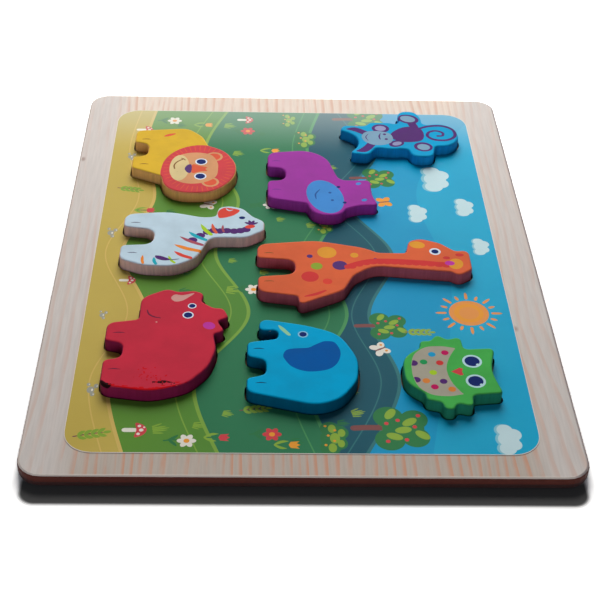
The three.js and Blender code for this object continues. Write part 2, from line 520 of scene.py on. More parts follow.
def new_material(name):
    """A material with its shader, and the place of each point of the surface."""
    material = bpy.data.materials.new(name)
    material.use_nodes = True
    tree = material.node_tree
    tree.nodes.clear()
    shader = add(tree, "ShaderNodeBsdfPrincipled")
    output = add(tree, "ShaderNodeOutputMaterial")
    link(shader.outputs[0], output.inputs["Surface"])
    return material, shader, add(tree, "ShaderNodeTexCoord").outputs["Object"]


def placed(shared, **inputs):
    """A shared group in a material."""
    return fed("ShaderNodeGroup", inputs, node_tree=shared)


def coated(shader, colour, roughness, gloss):
    """Gives a shader its colour, roughness and strength of reflection."""
    link(colour, shader.inputs["Base Color"])
    link(roughness, shader.inputs["Roughness"])
    shader.inputs["Specular IOR Level"].default_value = gloss


def bumped(shader, height, depth, strength):
    bump = fed("ShaderNodeBump", {"Height": height, "Distance": depth * MM, "Strength": strength})
    link(bump["Normal"], shader.inputs["Normal"])


def shade(colour, factor):
    """The linear colour, made darker or lighter."""
    return tuple(part * factor for part in linear(colour)[:3]) + (1.0,)


def wood(name):
    return linear(WOODS[name])


def paint(name):
    """Satin paint or ink on a block: cloudy, thinner on the sawn walls with painted light and shade there,
    and rubbed along the rounded edge.
    """
    colour = COLOURS[name]
    material, shader, place = new_material(name + "_paint")
    film = placed(PAINT, Place=place)
    # The wall mask reaches up the rounded rim, so its lower part takes the wall colour as painted shade.
    rub = placed(RUB, Place=place, Wear=0.45, Upright=0.58)
    body = mixed(ramp(film["Tone"], 0.3, 0.7), shade(colour, 0.9), shade(colour, 1.05))
    # The wall colour is thin paint with painted light and shade in it.
    sawn = WALL_PAINT_AND_SHADE.get(name, colour)
    marked = mixed(ramp(film["Saw"], 0.32, 0.68), shade(sawn, 0.86), shade(sawn, 1.1))
    wall = mixed(times(rub["Wall"], 0.85), body, marked)
    worn = mixed(times(rub["Rub"], 0.55), wall, wood("rubbed"))
    dusty = mixed(times(film["Nib"], 0.5), worn, shade(colour, 0.45))
    satin = ramp(film["Tone"], 0.25, 0.75, 0.36, 0.5)
    rough = math_node("ADD", satin, times(rub["Wall"], 0.15))
    coated(shader, dusty, rough, 0.08)
    bumped(shader, film["Height"], 0.05, 0.35)
    return material


# The middle of the board's corner curves, from which the outer edge is measured
CORNER_ROUND = 10
CORNER_MIDDLE = (cad_box[1].x - CORNER_ROUND * MM, cad_box[1].y - CORNER_ROUND * MM, 1.0)


def veneer():
    """Pale softwood, yellower and streaked at the ends and greyer along the sides, with stained edges.
    Painted shade darkens it towards the near end, and its rim line has painted highlight and shade.
    """
    material, shader, place = new_material("front_veneer")
    grain = placed(GRAIN, Place=place, Streaks=1.0)
    rub = placed(RUB, Place=place, Wear=0.3, Upright=0.68)
    axes = axes_of(place)
    across = math_node("ABSOLUTE", axes["X"])
    out = past_box(place, CORNER_MIDDLE)
    # Painted shade: the wood grows darker towards the near end, as the light falls off.
    length = ramp(axes["Y"], -150 * MM, 120 * MM)
    ends = mixed(length, wood("near_end_shaded"), wood("far_end_lit"))
    tone = mixed(ramp(across, 84 * MM, 102 * MM), ends, wood("side"))
    pale = mixed(1.0, tone, ramp(grain["Fibre"], 0.25, 0.75, 0.94, 1.06), "MULTIPLY")
    sides = ramp(across, 88 * MM, 100 * MM, 0.88, 0.3)
    strength = times(sides, ramp(axes["Y"], -120 * MM, 120 * MM, 1.0, 0.62))
    streaked = mixed(times(grain["Streak"], strength), pale, wood("streak"))
    knotted = mixed(times(grain["Knot"], 0.6), streaked, wood("knot"))
    stained = mixed(grain["Fibre"], wood("stain_dark"), wood("stain_light"))
    edge = mixed(ramp(out, 5 * MM, 6 * MM), wood("cut_out_wall"), stained)
    # Rim line along the top edge: a pale sanded arris with painted highlight at the ends and on the left
    # side, and a painted shade line on the right side.
    side_rim_light_and_shade = mixed(ramp(axes["X"], -1 * MM, 1 * MM), wood("left_rim_highlight"), wood("right_rim_shade"))
    rim = mixed(ramp(across, 104 * MM, 109 * MM), wood("end_rim_highlight"), side_rim_light_and_shade)
    rim_light_and_shade = mixed(ramp(out, 8.5 * MM, 9.1 * MM, 0.0, 0.8), knotted, rim)
    rough = ramp(grain["Fibre"], 0.2, 0.8, 0.42, 0.6)
    coated(shader, mixed(rub["Wall"], rim_light_and_shade, edge), rough, 0.22)
    bumped(shader, grain["Fibre"], 0.08, 0.4)
    return material


def back_board():
    """The back layer: plain brown board with fine fibres, darker and redder along the edges."""
    material, shader, place = new_material("back_board")
    grain = placed(GRAIN, Place=place, Streaks=0.5)
    rub = placed(RUB, Place=place, Wear=0.3)
    flat = mixed(ramp(grain["Fibre"], 0.3, 0.7), wood("back_dark"), wood("back_light"))
    streaked = mixed(times(grain["Streak"], 0.6), flat, wood("back_streak"))
    edge = mixed(grain["Fibre"], wood("back_edge_dark"), wood("back_edge_light"))
    rough = ramp(grain["Fibre"], 0.2, 0.8, 0.6, 0.8)
    coated(shader, mixed(rub["Wall"], streaked, edge), rough, 0.5)
    bumped(shader, grain["Fibre"], 0.1, 0.5)
    return material


# Landscape inks, each with its colour on the left and on the right of the sheet, and the pale painted glare
# at the far end
FAR_GLARE = (214, 228, 222)
SCENE_INKS = {
    "paper": ((216, 208, 200), (216, 208, 200)),
    "sky": ((0, 120, 190), (2, 150, 194)),
    "sky_glow": ((2, 138, 192), (14, 160, 200)),
    "far_hill": ((18, 72, 94), (26, 86, 100)),
    "mid_hill": ((34, 108, 72), (46, 122, 82)),
    "near_hill": ((88, 136, 42), (60, 124, 56)),
    "sand": ((184, 162, 74), (202, 178, 92)),
    "sand_light": ((200, 172, 92), (210, 182, 106)),
    "far_edge": ((40, 98, 110), (54, 118, 120)),
    "mid_edge": ((58, 134, 80), (78, 150, 92)),
    "near_edge": ((126, 162, 56), (102, 150, 64)),
    "leaf": ((122, 160, 50), (140, 172, 62)),
    "leaf_dark": ((36, 106, 62), (48, 122, 70)),
    "trunk": ((112, 66, 74), (128, 76, 72)),
    "cloud": ((170, 206, 216), (190, 216, 222)),
    "cloud_shade": ((112, 178, 200), (130, 190, 206)),
    "sun": ((224, 164, 62), (222, 142, 72)),
    "petal": ((222, 218, 208), (222, 218, 208)),
    "poppy_red": ((196, 54, 66), (204, 64, 70)),
    "pollen": ((226, 150, 46), (226, 150, 46)),
    "stone": ((148, 150, 140), (172, 172, 160)),
}


def scene_ink(name, low, high):
    """Ink on paper, which fades from one colour to another across the sheet and pales under a painted glare
    at the far end.
    """
    left, right = SCENE_INKS[name]
    material, shader, place = new_material(name + "_ink")
    paper = placed(PAPER, Place=place)
    axes = axes_of(place)
    waver = times(paper["Cloud"], 0.03)
    across = ramp(math_node("ADD", axes["X"], waver), low * MM, high * MM)
    faded = mixed(across, linear(left), linear(right))
    cloudy = mixed(ramp(paper["Cloud"], 0.35, 0.65, 0.0, 0.16), faded, shade(left, 0.8))
    # Painted glare: a pale haze over the far end of the sheet, standing in for reflected light.
    glared = mixed(ramp(axes["Y"], 85 * MM, 140 * MM, 0.0, 0.26), cloudy, linear(FAR_GLARE))
    coated(shader, glared, ramp(paper["Cloud"], 0.3, 0.7, 0.28, 0.38), 0.3)
    bumped(shader, paper["Tooth"], 0.03, 0.3)
    return material


# Prints on the blocks, in millimetres about the middle of each block's box
MANE_RAYS = 40


def ovals(ink, *shapes):
    return [(ink, oval(*shape)) for shape in shapes]


def ringed(places, *rings):
    """Round spots at the places, one upon the other: each ring is an ink with its radius."""
    return [(ink, oval(x, y, r)) for x, y in places for ink, r in rings]


def eyes(places, ring, pupil, white="eye_white"):
    return ringed(places, (white, ring), ("navy", pupil))


def ray(angle, shares, x, y, across, along):
    """The ends of a line out of an oval's middle, at two shares of its half lengths."""
    return [(x + k * across * math.cos(angle), y + k * along * math.sin(angle)) for k in shares]


def leg_marks(ink, places, length=4.5):
    half = length / 2
    return [(ink, stroke([(x - half, y), (x, y + 0.3), (x + half, y)], 0.6, 0.3, 0.3)) for x, y in places]


def lion_prints():
    mane = (7.6, -8.6, 18.9, 22.8, -6)
    angles = np.arange(MANE_RAYS) * math.tau / MANE_RAYS
    rays = [ray(angle, (0.74, 0.97), *mane[:4]) for angle in angles]
    face = [
        (-7.3, -8), (-6, -1), (-2, 4.2), (3, 6.4), (9, 6.4), (14, 4), (17, -2.5), (17.5, -9),
        (16.8, -15.5), (13.5, -20), (8, -22.8), (2, -22.9), (-3, -20.4), (-6.4, -15),
    ]
    nose = [(0.5, -9), (1.6, -5.8), (3.4, -4.8), (4, -7), (4, -11), (3.4, -13.2), (1.6, -12.2)]
    bridge = [
        (4, -5.6), (5, -4.6), (9, -6.6), (12.2, -7.4), (11, -9.2), (12.2, -11), (9, -11.6),
        (5, -13.4), (4, -12.4),
    ]
    return [
        ("mane_red", oval(*mane)),
        ("mane_red", oval(6.7, -10.6, 18.2, 23.2, -8)),
        *[("ear_orange", stroke(ends, 0.5, 0.4, 0.4)) for ends in rays],
        *ringed([(15.2, 2.8), (13.9, -21.4)], ("tan", 4.4), ("ear_orange", 3.2)),
        ("tan", blob(face)),
        ("cream", oval(-2.2, -8.2, 5.0, 12.2)),
        ("ear_orange", np.array(bridge, float)),
        ("nose_purple", blob(nose)),
        ("line_brown", stroke([(-4.6, -9.2), (-5, -6), (-3.6, -2.6), (-0.6, 0.2)], 0.7)),
        ("line_brown", stroke([(-1.6, 0.9), (-0.4, 0.3), (0.4, -0.8)], 0.6)),
        *eyes([(8.7, -2.2), (8.7, -16.1)], 3.1, 2.4),
        ("ear_orange", stroke([(-11.8, 22.6), (-9, 24.2), (-6.3, 25.4)], 2.1, 0.2, 0.5)),
        *leg_marks("line_brown", [(-20.9, 19.5), (-20.4, -5.2)]),
    ]


def hippo_prints():
    return [
        ("muzzle_blue", oval(1.4, -13.6, 8.9, 15.1, 12)),
        ("smile_blue", stroke([(-3.1, -15.9), (-3.3, -11.6), (-1.1, -7.3)], 0.8, 0.5, 0.5)),
        *ringed([(3.9, -10.1), (4.9, -16.9)], ("smile_blue", 0.8)),
        *ringed([(8.4, -4.8), (10.9, -18.9)], ("navy", 0.95)),
        *ovals("muzzle_blue", (18.7, -1.5, 1.5, 1.1, 30), (20.8, -16.4, 1.5, 1.1, 30)),
        *leg_marks("violet", [(-22.7, 19.2), (-22.7, -7.8)]),
    ]


def monkey_prints():
    head = [
        (-20.6, -4), (-18, 0.6), (-12, 1.7), (-6, -0.2), (-4, -5), (-5, -9.6), (-9, -12.4),
        (-14.5, -12.6), (-19, -9.4),
    ]
    body = [
        (-5, -1.5), (0, 4.6), (6, 6.8), (11.6, 4.6), (13, -2), (11, -7.6), (5, -9.4), (0, -8.8),
        (-4, -6.2),
    ]
    tail = [
        (10.5, 4.5), (16, 7.4), (23.5, 8), (29, 4.2), (29.4, -2.6), (25, -6.6), (18.6, -6.6),
        (14.9, -3.2), (15.8, 1), (19.6, 2.8), (23.2, 0.8), (22.8, -2.2), (20.2, -2.6),
    ]
    return [
        ("plum", stroke([(-28.2, 3.4), (-23.5, 3), (-18, -1)], 4.2, 0.15, 1)),
        ("plum", stroke([(-24, -19.2), (-19.5, -17.4), (-15.6, -11.5)], 4.6, 0.15, 1)),
        ("plum", oval(-10, 4.4, 4.7, 4.4)),
        ("lavender", oval(-10, 4.6, 3.0, 2.7)),
        ("plum", oval(-2.4, -11, 4.4, 3.1, 30)),
        ("lavender", oval(-2.2, -11, 2.7, 1.8, 30)),
        ("plum", blob(body)),
        ("plum", stroke([(9, 3), (8, 8), (6.6, 12.6)], 4.6)),
        ("plum", oval(5.9, 14.9, 5.8, 4.7, -25)),
        ("face_grey", oval(5.6, 15.1, 4.2, 3.2, -25)),
        ("plum", oval(11.5, -14.0, 5.0, 4.6, -20)),
        ("face_grey", oval(11.6, -14.2, 3.4, 3.0, -20)),
        ("plum", stroke(tail, 1.8, 1, 0.8)),
        ("face_grey", blob(head)),
        ("plum", stroke([(-10.8, -7), (-11.2, -3.8), (-10.4, -0.8)], 0.9, 0.4, 0.4)),
        ("plum", stroke([(-17.4, -8.4), (-18.4, -4.6), (-16.8, -1.4)], 0.5, 0.4, 0.4)),
        *ringed([(-7.6, -6.6), (-8.2, -1.6)], ("plum", 0.9)),
    ]


def stripe(ink, start, end, width):
    """A body stripe that sags a little and is thin at its start."""
    middle = ((start[0] + end[0]) / 2 - 0.3, (start[1] + end[1]) / 2 - 0.5)
    return (ink, stroke([start, middle, end], 1.25 * width, 0.15, 0.9))


def zebra_prints():
    ear = [
        (11.5, 15), (11.2, 19.9), (13.4, 23), (16.3, 23.4), (21.6, 21.4), (19.3, 17.4), (16.3, 15.5),
        (13.3, 14.5),
    ]
    beads = [
        (-0.2, -4.4), (3.3, -0.6), (6.6, 2.4), (9.6, 3.8), (12.6, 3.4), (15.8, 3.7), (19.2, 3.4),
        (22.3, 3.9), (24.9, 4.9),
    ]
    tuft = [ray(angle, (0, 1), 27.4, 9.2, 3.2, 3.2) for angle in (0.5, 1.2, 1.9, 2.6)]
    return [
        ("poppy", blob(ear)),
        ("white", stroke([(15, 22.8), (16.4, 21), (18.4, 21.6)], 0.8, 0.4, 0.4)),
        ("navy", oval(22.9, 14.9, 1.5, 1.2)),
        *[("plum", oval(x, y, 2.25, 2.3, 40 if x < 8 else 5)) for x, y in beads],
        *[("plum", stroke(ends, 1.6, 0.9, 0.6)) for ends in tuft],
        ("poppy", oval(26.8, 7.4, 2.5, 1.5, 15)),
        stripe("lime", (3.3, 8.9), (8.3, 0.4), 1.7),
        stripe("ear_orange", (8.6, 9.4), (10.8, 1.9), 1.3),
        stripe("rose", (13.8, 8.4), (14.3, 2.9), 0.9),
        stripe("teal", (-2.2, 2.4), (5.8, -4.1), 1.7),
        stripe("rose", (-6.3, -1.6), (4.3, -8.2), 1.6),
        stripe("tangerine", (-8.5, -8.2), (3.3, -13.2), 1.9),
        stripe("poppy", (-8.3, -13.7), (-0.7, -18.7), 1.7),
        stripe("lime", (-10.8, -17.4), (-7.8, -22.7), 1.1),
        stripe("tangerine", (-22.8, -17.2), (-22.3, -23.2), 1.1),
        stripe("teal", (-17.5, -18.7), (-16.3, -23.7), 1.3),
        ("plum", blob([(-17, -17.2), (-13.6, -17.8), (-9.8, -20.4), (-13, -21), (-16.2, -19.6)])),
        ("leg_grey", stroke([(-10, -20.4), (-8, -20.2), (-5.8, -19.7)], 0.7, 1, 0.4)),
        *leg_marks("leg_grey", [(-28, 9.6), (-27.8, -15.2)]),
    ]


def giraffe_prints():
    mane = [(-8, 2.2), (-2, 5.2), (4, 6.8), (10, 7), (16, 6.8), (22, 6.4), (28, 6), (33, 5.4), (38, 5)]
    fringe = curve([(x, y - 1.3) for x, y in mane], closed=False)[4::5]
    return [
        *ovals("sun_yellow", (-17.3, 13.4, 4.5), (-4.5, 11.4, 1.9)),
        *ovals("nose_purple", (-11.6, 3.2, 3.5), (-25.4, 10.2, 1.4), (5.2, 8.4, 0.9)),
        ("leaf_green", oval(-22.4, 2.4, 2.7)),
        ("crimson", oval(-25.7, -5.8, 4.0)),
        ("poppy", oval(-17.8, -9.3, 2.2)),
        ("crimson", stroke(mane, 3.8, 0.9, 0.8)),
        *ovals("crimson", *[(x, y, 1.9, 1.3) for x, y in fringe]),
        ("crimson", stroke([(-28.4, -20.7), (-23.6, -19), (-18.9, -16.2)], 1.8, 0.4, 0.5)),
        *eyes([(33.8, 15.1)], 2.7, 1.7),
        ("sun_yellow", oval(42.6, 5.4, 3.4, 4.2, -15)),
        ("cheek_pink", oval(39.8, 5.9, 2.3, 1.8)),
        *ovals("crimson", (38.7, 10.1, 1.7, 1.2), (45.1, 12.6, 2.0, 1.3)),
        ("sun_yellow", oval(25.8, 20.4, 3.7, 2.8, -12)),
        *leg_marks("line_brown", [(-44.4, 12.4), (-44.4, -9.6)]),
    ]


def worn_specks(rubbed):
    """Bright and dark specks along the rubbed near edge of a block."""
    rng = random.Random(7)
    specks = []
    for x, y in rubbed * 4:
        across, along = rng.uniform(0.4, 1.6), rng.uniform(0.2, 0.5)
        spot = (x + rng.uniform(-2.5, 2.5), y + rng.uniform(0.2, 0.9))
        specks.append(("worn_red", oval(*spot, across, along)))
    for x, y in ((-7.5, -21), (-8.5, -25.5), (-1, -27.5)):
        for _ in range(14):
            specks.append(("worn_red", oval(rng.gauss(x, 2), rng.gauss(y, 1.6), rng.uniform(0.12, 0.4))))
    for _ in range(10):
        specks.append(("soot", oval(rng.uniform(-4, 6), rng.uniform(-30.5, -28.5), rng.uniform(0.15, 0.4))))
    return specks


def rhino_prints():
    rubbed = [(-21, -31.3), (-16, -32.2), (-10, -33.2), (-6, -33.5), (-2, -33.1), (3, -31.7), (8, -29.7)]
    horn = [(0.6, 28), (2.2, 30.4), (5.6, 30), (10.8, 31.6), (8.4, 28.6), (5.6, 26), (2.4, 25.4)]
    chip = [
        (-28, -27), (-26.4, -27.6), (-24.6, -28.2), (-23, -29.6), (-20.6, -30.4), (-21, -32),
        (-25, -32), (-28, -30),
    ]
    return [
        ("worn_red", stroke(rubbed, 1.0, 0.4, 0.2)),
        ("horn_pink", blob(horn)),
        *eyes([(10.2, 22.3)], 1.9, 1.4),
        *eyes([(8.7, 15.7)], 2.45, 1.85),
        ("mark_red", stroke([(-9.4, 19), (-8.4, 16), (-6, 14.2), (-3.3, 13.5)], 0.8, 0.6, 0.6)),
        ("cheek_pink", oval(18.1, 8.4, 2.8, 2.4, -35)),
        ("horn_pink", oval(-4.8, 10.6, 0.45)),
        *leg_marks("mark_red", [(-20.4, 3), (-20.4, -21.1)], 5),
        ("soot", stroke([(-3.8, -29), (-1.5, -29), (0, -28.6), (4.4, -29.2)], 1.3, 0.5, 0.2)),
        ("soot", stroke([(-1.6, -29.6), (1, -29.4)], 0.5, 0.3, 0.3)),
        ("soot", blob(chip)),
        *worn_specks(rubbed),
    ]


def elephant_prints():
    ear = [
        (-8.2, 2.8), (-7, 6.3), (-4, 7.6), (2.5, 8.3), (5.5, 10.3), (8.6, 12.3), (11.1, 12.8),
        (14.1, 11.8), (16.2, 6.3), (15.6, 0.8), (13.6, -3.3), (10.6, -5.8), (6.5, -7), (2, -7.3),
        (-2, -6), (-5, -3.8), (-7, -0.7),
    ]
    return [
        ("ear_blue", blob(ear)),
        *eyes([(0.5, 17.3)], 2.2, 1.6, "eye_blue"),
        ("ivory", stroke([(-9.8, 23.1), (-8, 20.4), (-5.5, 17)], 1.8, 0.4, 0.8)),
        *leg_marks("mark_blue", [(-18.5, 7.3), (-17.5, -14.8)]),
    ]


def owl_prints():
    belly = blob([
        (3.2, 14.7), (2.2, 13), (-0.6, 7), (-1.9, 0.4), (-0.6, -7), (2.4, -13), (3.4, -14.5),
        (2.2, -15), (-3, -15.9), (-9.5, -15), (-14.5, -10.5), (-16.4, -4), (-16.6, 0.4), (-16.4, 5),
        (-14.5, 11), (-9.5, 15.4), (-3, 16.2), (2, 15.3),
    ])
    dots = [
        ("dot_blue", -7.2, 10.7), ("magenta", -1.5, 11.9), ("dot_green", -11.2, 5.7),
        ("crimson", -4.4, 5.2), ("lime", -7.8, -1.1), ("dot_orange", -11.2, -6.4),
        ("plum", -4, -6.7), ("magenta", -8, -10.2), ("dot_orange", -1, -11.6),
    ]
    cut_dots = [oval(-15.5, 4.9, 1.8), oval(-15.3, -5.8, 1.8)]
    beak = [(-0.2, -0.4), (3.6, -2.9), (4.9, -2.4), (4.4, -0.4), (5.0, 1.4), (3.6, 2.1)]
    return [
        ("belly_beige", belly),
        *[(ink, oval(x, y, 1.6)) for ink, x, y in dots],
        *[("plum", dot[inside(dot, belly)]) for dot in cut_dots],
        *ringed([(9.5, 6.4), (9.5, -6.4)], ("ring_blue", 4.2), ("navy", 3.2)),
        *ringed([(11.6, y - 2.2) for y in (6.4, -6.4)], ("ring_blue", 0.7)),
        ("mane_red", np.array(beak)),
    ]


ANIMALS = {
    "lion": ("yellow", lion_prints),
    "hippo": ("purple", hippo_prints),
    "monkey": ("sky_blue", monkey_prints),
    "zebra": ("white", zebra_prints),
    "giraffe": ("orange", giraffe_prints),
    "rhino": ("red", rhino_prints),
    "elephant": ("blue", elephant_prints),
    "owl": ("green", owl_prints),
}

# The upper edge is rounded a little tighter here than in the solids.
SOLID_ROUND = 1.5
EDGE_ROUND = 1.1
ROUND_RINGS = 5
FLAT_RIM = 0.15


def printed_block(animal):
    """An animal block: printed top with a rounded rim, sawn walls and a rounded lower rim."""
    base, prints_of = ANIMALS[animal]
    node = animal + "_block"
    low, high = (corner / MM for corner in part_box(node))
    middle = np.array((low + high) / 2)[:2]
    outline = rounder(cad_loops(node, (high.z - SOLID_ROUND) * MM)[0])
    angles = np.linspace(0, math.pi / 2, ROUND_RINGS + 1)
    insets = EDGE_ROUND * (1 - np.cos(angles))
    drops = EDGE_ROUND * (1 - np.sin(angles))
    prints = [(ink, np.asarray(loop) + middle) for ink, loop in prints_of()]
    guides = [inset(outline, reach) for reach in [*insets[1:], EDGE_ROUND + FLAT_RIM]]
    spots, faces, on = printed_face(outline, [], guides, prints)
    reach = np.minimum(distance_to(spots, outline), EDGE_ROUND)
    heights = high.z - EDGE_ROUND + np.sqrt(EDGE_ROUND**2 - (EDGE_ROUND - reach) ** 2)
    points = [*np.column_stack([spots, heights])]
    faces = [list(face) for face in faces]
    inks = sorted({ink for ink, _ in prints})
    numbers = [0 if n < 0 else 1 + inks.index(prints[n][0]) for n in on]

    # The walls and the lower rim follow the rim of the printed top.
    rim = rims(faces)[0]
    rim_loop = spots[rim]
    ring = rim
    for reach, rise in zip(insets, drops):
        first = len(points)
        points += [(x, y, low.z + rise) for x, y in inset(rim_loop, reach)]
        lower = list(range(first, len(points)))
        for i in range(len(ring)):
            j = (i + 1) % len(ring)
            faces.append([ring[j], ring[i], lower[i], lower[j]])
        ring = lower
    faces.append(ring[::-1])
    numbers += [0] * (len(faces) - len(numbers))
    materials = [PAINTS[base], *[PAINTS[ink] for ink in inks]]
    piece(animal + "_printed", points, faces, numbers, materials, animal, node)


# The landscape, in the board's frame. Its sky is to the right, so each motif grows from its foot along +X.
# Prints overlap the sheet's edge by a little, where they are cut off.
OVERLAP = 4
SUN_RAYS = 16
GRASS_TUFTS = 34


def stand(drawing, x, y, size=1.0, turn=0.0):
    """A motif put in its place on the sheet."""
    return [(ink, moved(loop, x, y, turn, size)) for ink, loop in drawing]


def tree_motif():
    crown = ((19, 0, 9.0), (13, 7, 6.5), (13, -7, 6.5), (24, 5.5, 6.0), (24, -5.5, 6.0))
    lights = ((22, 4, 35), (14, 9, 60), (15, -5, -20), (27, -4, -40), (19, -1, 10))
    fruit = ((17, 5), (12, -8), (24, 1), (20, -7), (26, 8), (12, 3))
    return [
        ("trunk", stroke([(-2, 0), (5, 0.4), (14, 0)], 3.2, 1.5, 0.7)),
        ("trunk", stroke([(7, 0.3), (11, 3.6)], 1.2, 1, 0.4)),
        *ovals("leaf_dark", *crown),
        *ovals("leaf", *[(x, y, 3.6, 2.0, turn) for x, y, turn in lights]),
        *ringed(fruit, ("poppy_red", 1.0)),
    ]


def bush_motif():
    lobes = ((3, 0, 4.6), (2, 5, 3.6), (2, -5, 3.8), (5.5, 2.8, 3.4), (5.2, -2.8, 3.2))
    return [
        *ovals("leaf_dark", *lobes),
        *ovals("leaf", *[(x + 0.8, y, 0.4 * r, 0.6 * r) for x, y, r in lobes]),
        *ovals("pollen", *[(x - 1.6, y + 1.4, 0.55) for x, y, _ in lobes]),
    ]


def cloud_motif():
    lobes = ((0, 0, 5.0), (-1, 6, 3.8), (-1, -6, 4.0), (2.5, 3, 4.0), (2, -3.4, 3.8))
    return [
        *ovals("cloud_shade", *[(x - 1.0, y, r) for x, y, r in lobes]),
        *ovals("cloud", *[(x, y, r * 0.95) for x, y, r in lobes]),
    ]


def flower_motif(ink):
    petals = [(ink, oval(9 + 2.2 * math.cos(a), 2.2 * math.sin(a), 1.7, 1.2, math.degrees(a)))
              for a in np.arange(6) * math.tau / 6]
    return [
        ("leaf_dark", stroke([(0, 0), (4, 0.5), (8, 0)], 0.8)),
        ("leaf_dark", stroke([(1.5, 0.2), (4, 1.8), (5.6, 3.4)], 1.5, 0.4, 0.1)),
        ("leaf_dark", stroke([(2, 0.2), (4, -1.6), (5.2, -3.2)], 1.4, 0.4, 0.1)),
        *petals,
        ("pollen", oval(9, 0, 1.2)),
    ]


def tulip_motif(ink):
    cup = [(7, 0), (8, -2.2), (12.4, -2.6), (11, -1.2), (12.8, 0), (11, 1.2), (12.4, 2.6), (8, 2.2)]
    return [
        ("leaf_dark", stroke([(0, 0), (7.5, 0)], 0.9)),
        ("leaf", stroke([(0, 0.2), (3.5, 2.2), (7, 2.6)], 1.7, 0.5, 0.1)),
        ("leaf", stroke([(0, -0.2), (3, -2), (6, -2.6)], 1.6, 0.5, 0.1)),
        (ink, np.array(cup, float)),
    ]


def mushroom_motif():
    cap = [(4.6, -4.6), (8.2, -3.2), (9.8, 0), (8.2, 3.2), (4.6, 4.6), (5.2, 0)]
    return [
        ("petal", stroke([(0, 0), (5.4, 0)], 2.6, 1.3, 0.8)),
        ("poppy_red", blob(cap)),
        *ovals("petal", (7.4, 0, 1.0), (6.4, 2.6, 0.8), (6.2, -2.5, 0.8), (8.6, 1.8, 0.5)),
    ]


def grass_motif(ink):
    blades = ((-2.6, -3.4, 5.2), (-1.2, -1.2, 7.4), (0, 0.4, 8.6), (1.2, 1.8, 7.0), (2.4, 4.2, 5.0))
    lines = [[(0, foot), (tall / 2, (foot + tip) / 2), (tall, tip)] for foot, tip, tall in blades]
    return [(ink, stroke(line, 1.1, 1, 0.15)) for line in lines]


def sprig_motif():
    leaves = [("leaf", stroke([(x, 0), (x + 1.6, 1.6 * side), (x + 3.6, 2.6 * side)], 2.0, 0.3, 0.1))
              for x in (2, 5, 8, 11) for side in (1, -1)]
    return [
        ("trunk", stroke([(0, 0), (7, 0.3), (14, 0)], 0.7, 1, 0.4)),
        *leaves,
        ("leaf", oval(15, 0, 1.8, 0.9)),
    ]


def butterfly_motif(ink):
    pairs = ((1.6, 50), (-1.4, -40))
    return [
        *ovals(ink, *[(x, 1.9 * side, 2.0, 1.5, turn * side) for x, turn in pairs for side in (1, -1)]),
        *ovals("pollen", (1.8, 2.0, 0.6), (1.8, -2.0, 0.6)),
        ("trunk", stroke([(-2.2, 0), (2.4, 0)], 0.8, 0.5, 0.7)),
    ]


def sun_motif(radius):
    rays = []
    for step, angle in enumerate(np.arange(SUN_RAYS) * math.tau / SUN_RAYS):
        ends = ray(angle, (1.2, 1.45 if step % 2 else 1.65), 0, 0, radius, radius)
        rays.append(("sun", stroke(ends, 1.4, 1, 0.4)))
    return [*rays, *ringed([(0, 0)], ("sun", radius), ("pollen", 0.74 * radius), ("sun", 0.5 * radius))]


def pebbles_motif():
    prints = []
    for x, y, r in ((0, 0, 2.0), (2.6, 3.0, 1.3), (-1.4, 4.2, 1.0), (1.2, -3.4, 1.2)):
        prints.append(("stone", oval(x, y, r, 1.3 * r)))
        prints.append(("petal", oval(x + 0.4 * r, y, 0.25 * r, 0.5 * r)))
    return prints


# Hill lines run from the near end of the sheet to the far end, as places across it in millimetres.
HILLS = (
    ("far_hill", "far_edge", (22, 40, 30, 44, 24, 42, 30)),
    ("mid_hill", "mid_edge", (12, 2, 20, 8, 22, 6, 14)),
    ("near_hill", "near_edge", (-34, -46, -24, -40, -30, -48, -36)),
    ("sand", "sand_light", (-72, -82, -70, -84, -72, -80, -76)),
)
HILL_EDGE = 1.6
FAINT_LINE = 7


def hill_prints(low, high):
    """The ground in bands from the sky to the sand, each with a lighter edge and a faint line below it."""
    along = np.linspace(low.y - OVERLAP, high.y + OVERLAP, len(HILLS[0][2]))
    ground = [(low.x - OVERLAP, along[-1]), (low.x - OVERLAP, along[0])]
    prints = {}
    for ink, edge, across in HILLS:
        line = curve(list(zip(across, along)), closed=False)
        lit = np.concatenate([line + (HILL_EDGE, 0), ground])
        faint = stroke([(x - FAINT_LINE, y) for x, y in zip(across, along)], 0.6)
        prints[ink] = [(edge, lit), (ink, np.concatenate([line, ground])), (edge, faint)]
    return prints


def grass_tufts(low, high):
    """Grass strewn over the nearer hills."""
    scatter = random.Random(11)
    tufts = []
    for _ in range(GRASS_TUFTS):
        x, y = scatter.uniform(-66, 20), scatter.uniform(low.y + 4, high.y - 6)
        size = scatter.uniform(0.45, 0.8)
        blades = grass_motif(scatter.choice(("leaf", "leaf_dark")))
        tufts += stand(blades, x, y, size, scatter.uniform(-15, 15))
    return tufts


